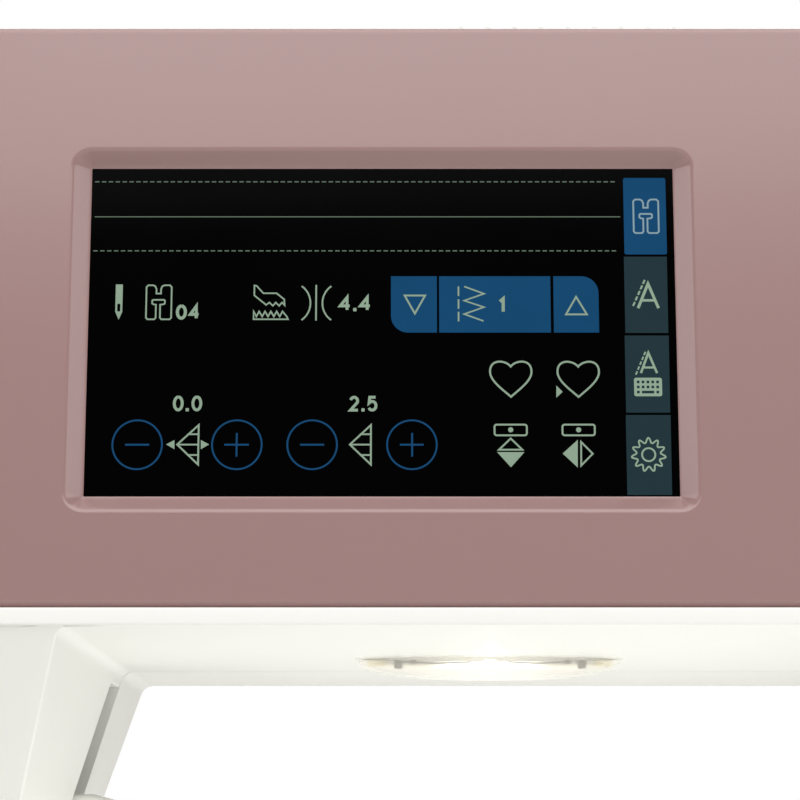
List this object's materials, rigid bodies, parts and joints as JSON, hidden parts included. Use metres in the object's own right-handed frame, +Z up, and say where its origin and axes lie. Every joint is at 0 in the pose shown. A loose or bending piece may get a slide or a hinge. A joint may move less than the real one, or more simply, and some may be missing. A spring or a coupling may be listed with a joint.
{
  "type": "embroidery machine",
  "caption": "Computerised sewing and embroidery machine, white with a dusty rose fascia and touch screen, with its embroidery unit and hoop in place.",
  "frame": {"origin": "on the table, under the middle of the whole machine with its embroidery unit", "axes": "+X to the operator's right, +Y away from the operator, +Z up"},
  "size_m": [0.62, 0.31, 0.2964],
  "materials": {
    "white_shell": "smooth satin white",
    "rose_panel": "dusty rose, satin",
    "black_glass": "black touch glass",
    "clear_plastic": "clear moulded plastic",
    "grey_plastic": "mid grey, fine texture",
    "black_plastic": "black, fine texture",
    "cast_alloy": "as cast",
    "steel": "ground and polished",
    "motor_metal": "dark painted can",
    "circuit_board": "green board",
    "rubber": "black rubber"
  },
  "bodies": {
    "machine": {"front_shell": "white_shell", "rear_shell": "white_shell", "front_panel": "rose_panel", "screen_glass": "black_glass", "display_module": "grey_plastic", "control_board": "circuit_board", "arm_light_lens": "clear_plastic", "arm_light_board": "white_shell", "top_deck": "white_shell", "spool_pin": "grey_plastic", "spool_cap": "grey_plastic", "main_frame": "cast_alloy", "bed_casing": "white_shell", "power_inlet": "black_plastic", "base_plate": "grey_plastic", "rubber_foot_1": "rubber", "rubber_foot_2": "rubber", "rubber_foot_3": "rubber", "rubber_foot_4": "rubber", "motor": "motor_metal", "timing_belt": "rubber", "motor_belt": "rubber", "bobbin_case": "black_plastic", "needle_plate": "steel", "free_arm_cover": "white_shell", "unit_casing": "white_shell", "unit_base": "grey_plastic", "x_guide_rod": "steel"},
    "upper_drive": {"upper_shaft": "steel", "handwheel": "white_shell", "timing_pulley": "grey_plastic", "drive_pulley": "grey_plastic"},
    "lower_drive": {"lower_shaft": "steel", "lower_pulley": "grey_plastic"},
    "hook": {"rotary_hook": "steel"},
    "motor_rotor": {"motor_pulley": "steel"},
    "bobbin": {"bobbin": "clear_plastic"},
    "needle_assembly": {"needle_bar": "steel", "needle": "steel", "needle_clamp": "steel"},
    "take_up": {"take_up_lever": "steel"},
    "presser": {"presser_bar": "steel", "embroidery_foot": "steel"},
    "lifter": {"lifter_lever": "white_shell"},
    "feed": {"feed_dog": "steel"},
    "cover_plate": {"bobbin_cover": "clear_plastic"},
    "lid": {"top_lid": "white_shell"},
    "winder": {"winder_spindle": "steel"},
    "reverse_key": {"reverse_button": "white_shell"},
    "needle_key": {"needle_position_button": "white_shell"},
    "cutter_key": {"thread_cutter_button": "white_shell"},
    "foot_key": {"foot_lift_button": "white_shell"},
    "start_key": {"start_stop_button": "white_shell"},
    "speed_knob": {"speed_slider": "white_shell"},
    "switch": {"power_switch": "black_plastic"},
    "carriage": {"carriage_arm": "white_shell"},
    "hoop_carrier": {"hoop_connector": "grey_plastic", "hoop_outer_ring": "grey_plastic"},
    "inner_ring": {"hoop_inner_ring": "grey_plastic"},
    "clamp_screw": {"hoop_screw": "steel"}
  },
  "joints": [
    {"name": "handwheel_turn", "type": "hinge", "parent": "machine", "child": "upper_drive", "pos_m": [0, 0, 0.24], "axis": [1, 0, 0], "continuous": true},
    {"name": "lower_shaft_turn", "type": "hinge", "parent": "machine", "child": "lower_drive", "pos_m": [0, 0.008, 0.042], "axis": [1, 0, 0], "continuous": true},
    {"name": "hook_turn", "type": "hinge", "parent": "machine", "child": "hook", "pos_m": [-0.04, -0.019, 0.05], "axis": [0, 0, 1], "continuous": true},
    {"name": "motor_turn", "type": "hinge", "parent": "machine", "child": "motor_rotor", "pos_m": [0.23, -0.022, 0.12], "axis": [1, 0, 0], "continuous": true},
    {"name": "bobbin_spin", "type": "hinge", "parent": "machine", "child": "bobbin", "pos_m": [-0.04, -0.019, 0.06], "axis": [0, 0, 1], "continuous": true},
    {"name": "needle_bar_slide", "type": "slide", "parent": "machine", "child": "needle_assembly", "axis": [0, 0, 1], "range_m": [-0.03, 0]},
    {"name": "take_up_swing", "type": "hinge", "parent": "machine", "child": "take_up", "pos_m": [-0.07425, 0.01, 0.222], "axis": [1, 0, 0], "range_deg": [0, 41]},
    {"name": "lifter_swing", "type": "hinge", "parent": "machine", "child": "lifter", "pos_m": [-0.026, 0.01975, 0.152], "axis": [0, -1, 0], "range_deg": [0, 27]},
    {"name": "presser_lift", "type": "slide", "parent": "machine", "child": "presser", "axis": [0, 0, 1], "range_m": [0, 0.0081]},
    {"name": "feed_dog_lift", "type": "slide", "parent": "machine", "child": "feed", "axis": [0, 0, 1], "range_m": [0, 0.0018]},
    {"name": "bobbin_cover_slide", "type": "slide", "parent": "machine", "child": "cover_plate", "axis": [0, -1, 0], "range_m": [0, 0.03]},
    {"name": "lid_open", "type": "hinge", "parent": "machine", "child": "lid", "pos_m": [0.09, 0.06, 0.2774], "axis": [-1, 0, 0], "range_deg": [0, 95]},
    {"name": "winder_spin", "type": "hinge", "parent": "machine", "child": "winder", "pos_m": [0.19, 0.012, 0.277], "axis": [0, 0, 1], "continuous": true},
    {"name": "reverse_press", "type": "slide", "parent": "machine", "child": "reverse_key", "axis": [0, 1, 0], "range_m": [0, 0.0012], "stiffness_N_per_m": 250},
    {"name": "needle_position_press", "type": "slide", "parent": "machine", "child": "needle_key", "axis": [0, 1, 0], "range_m": [0, 0.0012], "stiffness_N_per_m": 250},
    {"name": "thread_cutter_press", "type": "slide", "parent": "machine", "child": "cutter_key", "axis": [0, 1, 0], "range_m": [0, 0.0012], "stiffness_N_per_m": 250},
    {"name": "foot_lift_press", "type": "slide", "parent": "machine", "child": "foot_key", "axis": [0, 1, 0], "range_m": [0, 0.0012], "stiffness_N_per_m": 250},
    {"name": "start_stop_press", "type": "slide", "parent": "machine", "child": "start_key", "axis": [0, 1, 0], "range_m": [0, 0.0012], "stiffness_N_per_m": 250},
    {"name": "speed_slide", "type": "slide", "parent": "machine", "child": "speed_knob", "axis": [1, 0, 0], "range_m": [-0.013, 0.013]},
    {"name": "power_rock", "type": "hinge", "parent": "machine", "child": "switch", "pos_m": [0.287, 0.022, 0.046], "axis": [0, 1, 0], "range_deg": [-8, 8]},
    {"name": "carriage_slide", "type": "slide", "parent": "machine", "child": "carriage", "axis": [1, 0, 0], "range_m": [-0.065, 0.065]},
    {"name": "hoop_slide", "type": "slide", "parent": "carriage", "child": "hoop_carrier", "axis": [0, 1, 0], "range_m": [-0.09, 0.09]},
    {"name": "inner_ring_lift", "type": "slide", "parent": "hoop_carrier", "child": "inner_ring", "axis": [0, 0, 1], "range_m": [0, 0.012]},
    {"name": "hoop_screw_turn", "type": "hinge", "parent": "hoop_carrier", "child": "clamp_screw", "pos_m": [-0.035, -0.125, 0.079], "axis": [1, 0, 0], "continuous": true}
  ],
  "couplings": [
    {"joint": "lower_shaft_turn", "follows": "handwheel_turn", "ratio": 1},
    {"joint": "hook_turn", "follows": "handwheel_turn", "ratio": -2},
    {"joint": "motor_turn", "follows": "handwheel_turn", "ratio": 3.0769},
    {"joint": "take_up_swing", "follows": "needle_bar_slide", "rad_per_m": -23.271},
    {"joint": "presser_lift", "follows": "lifter_swing", "m_per_rad": 0.016977}
  ]
}
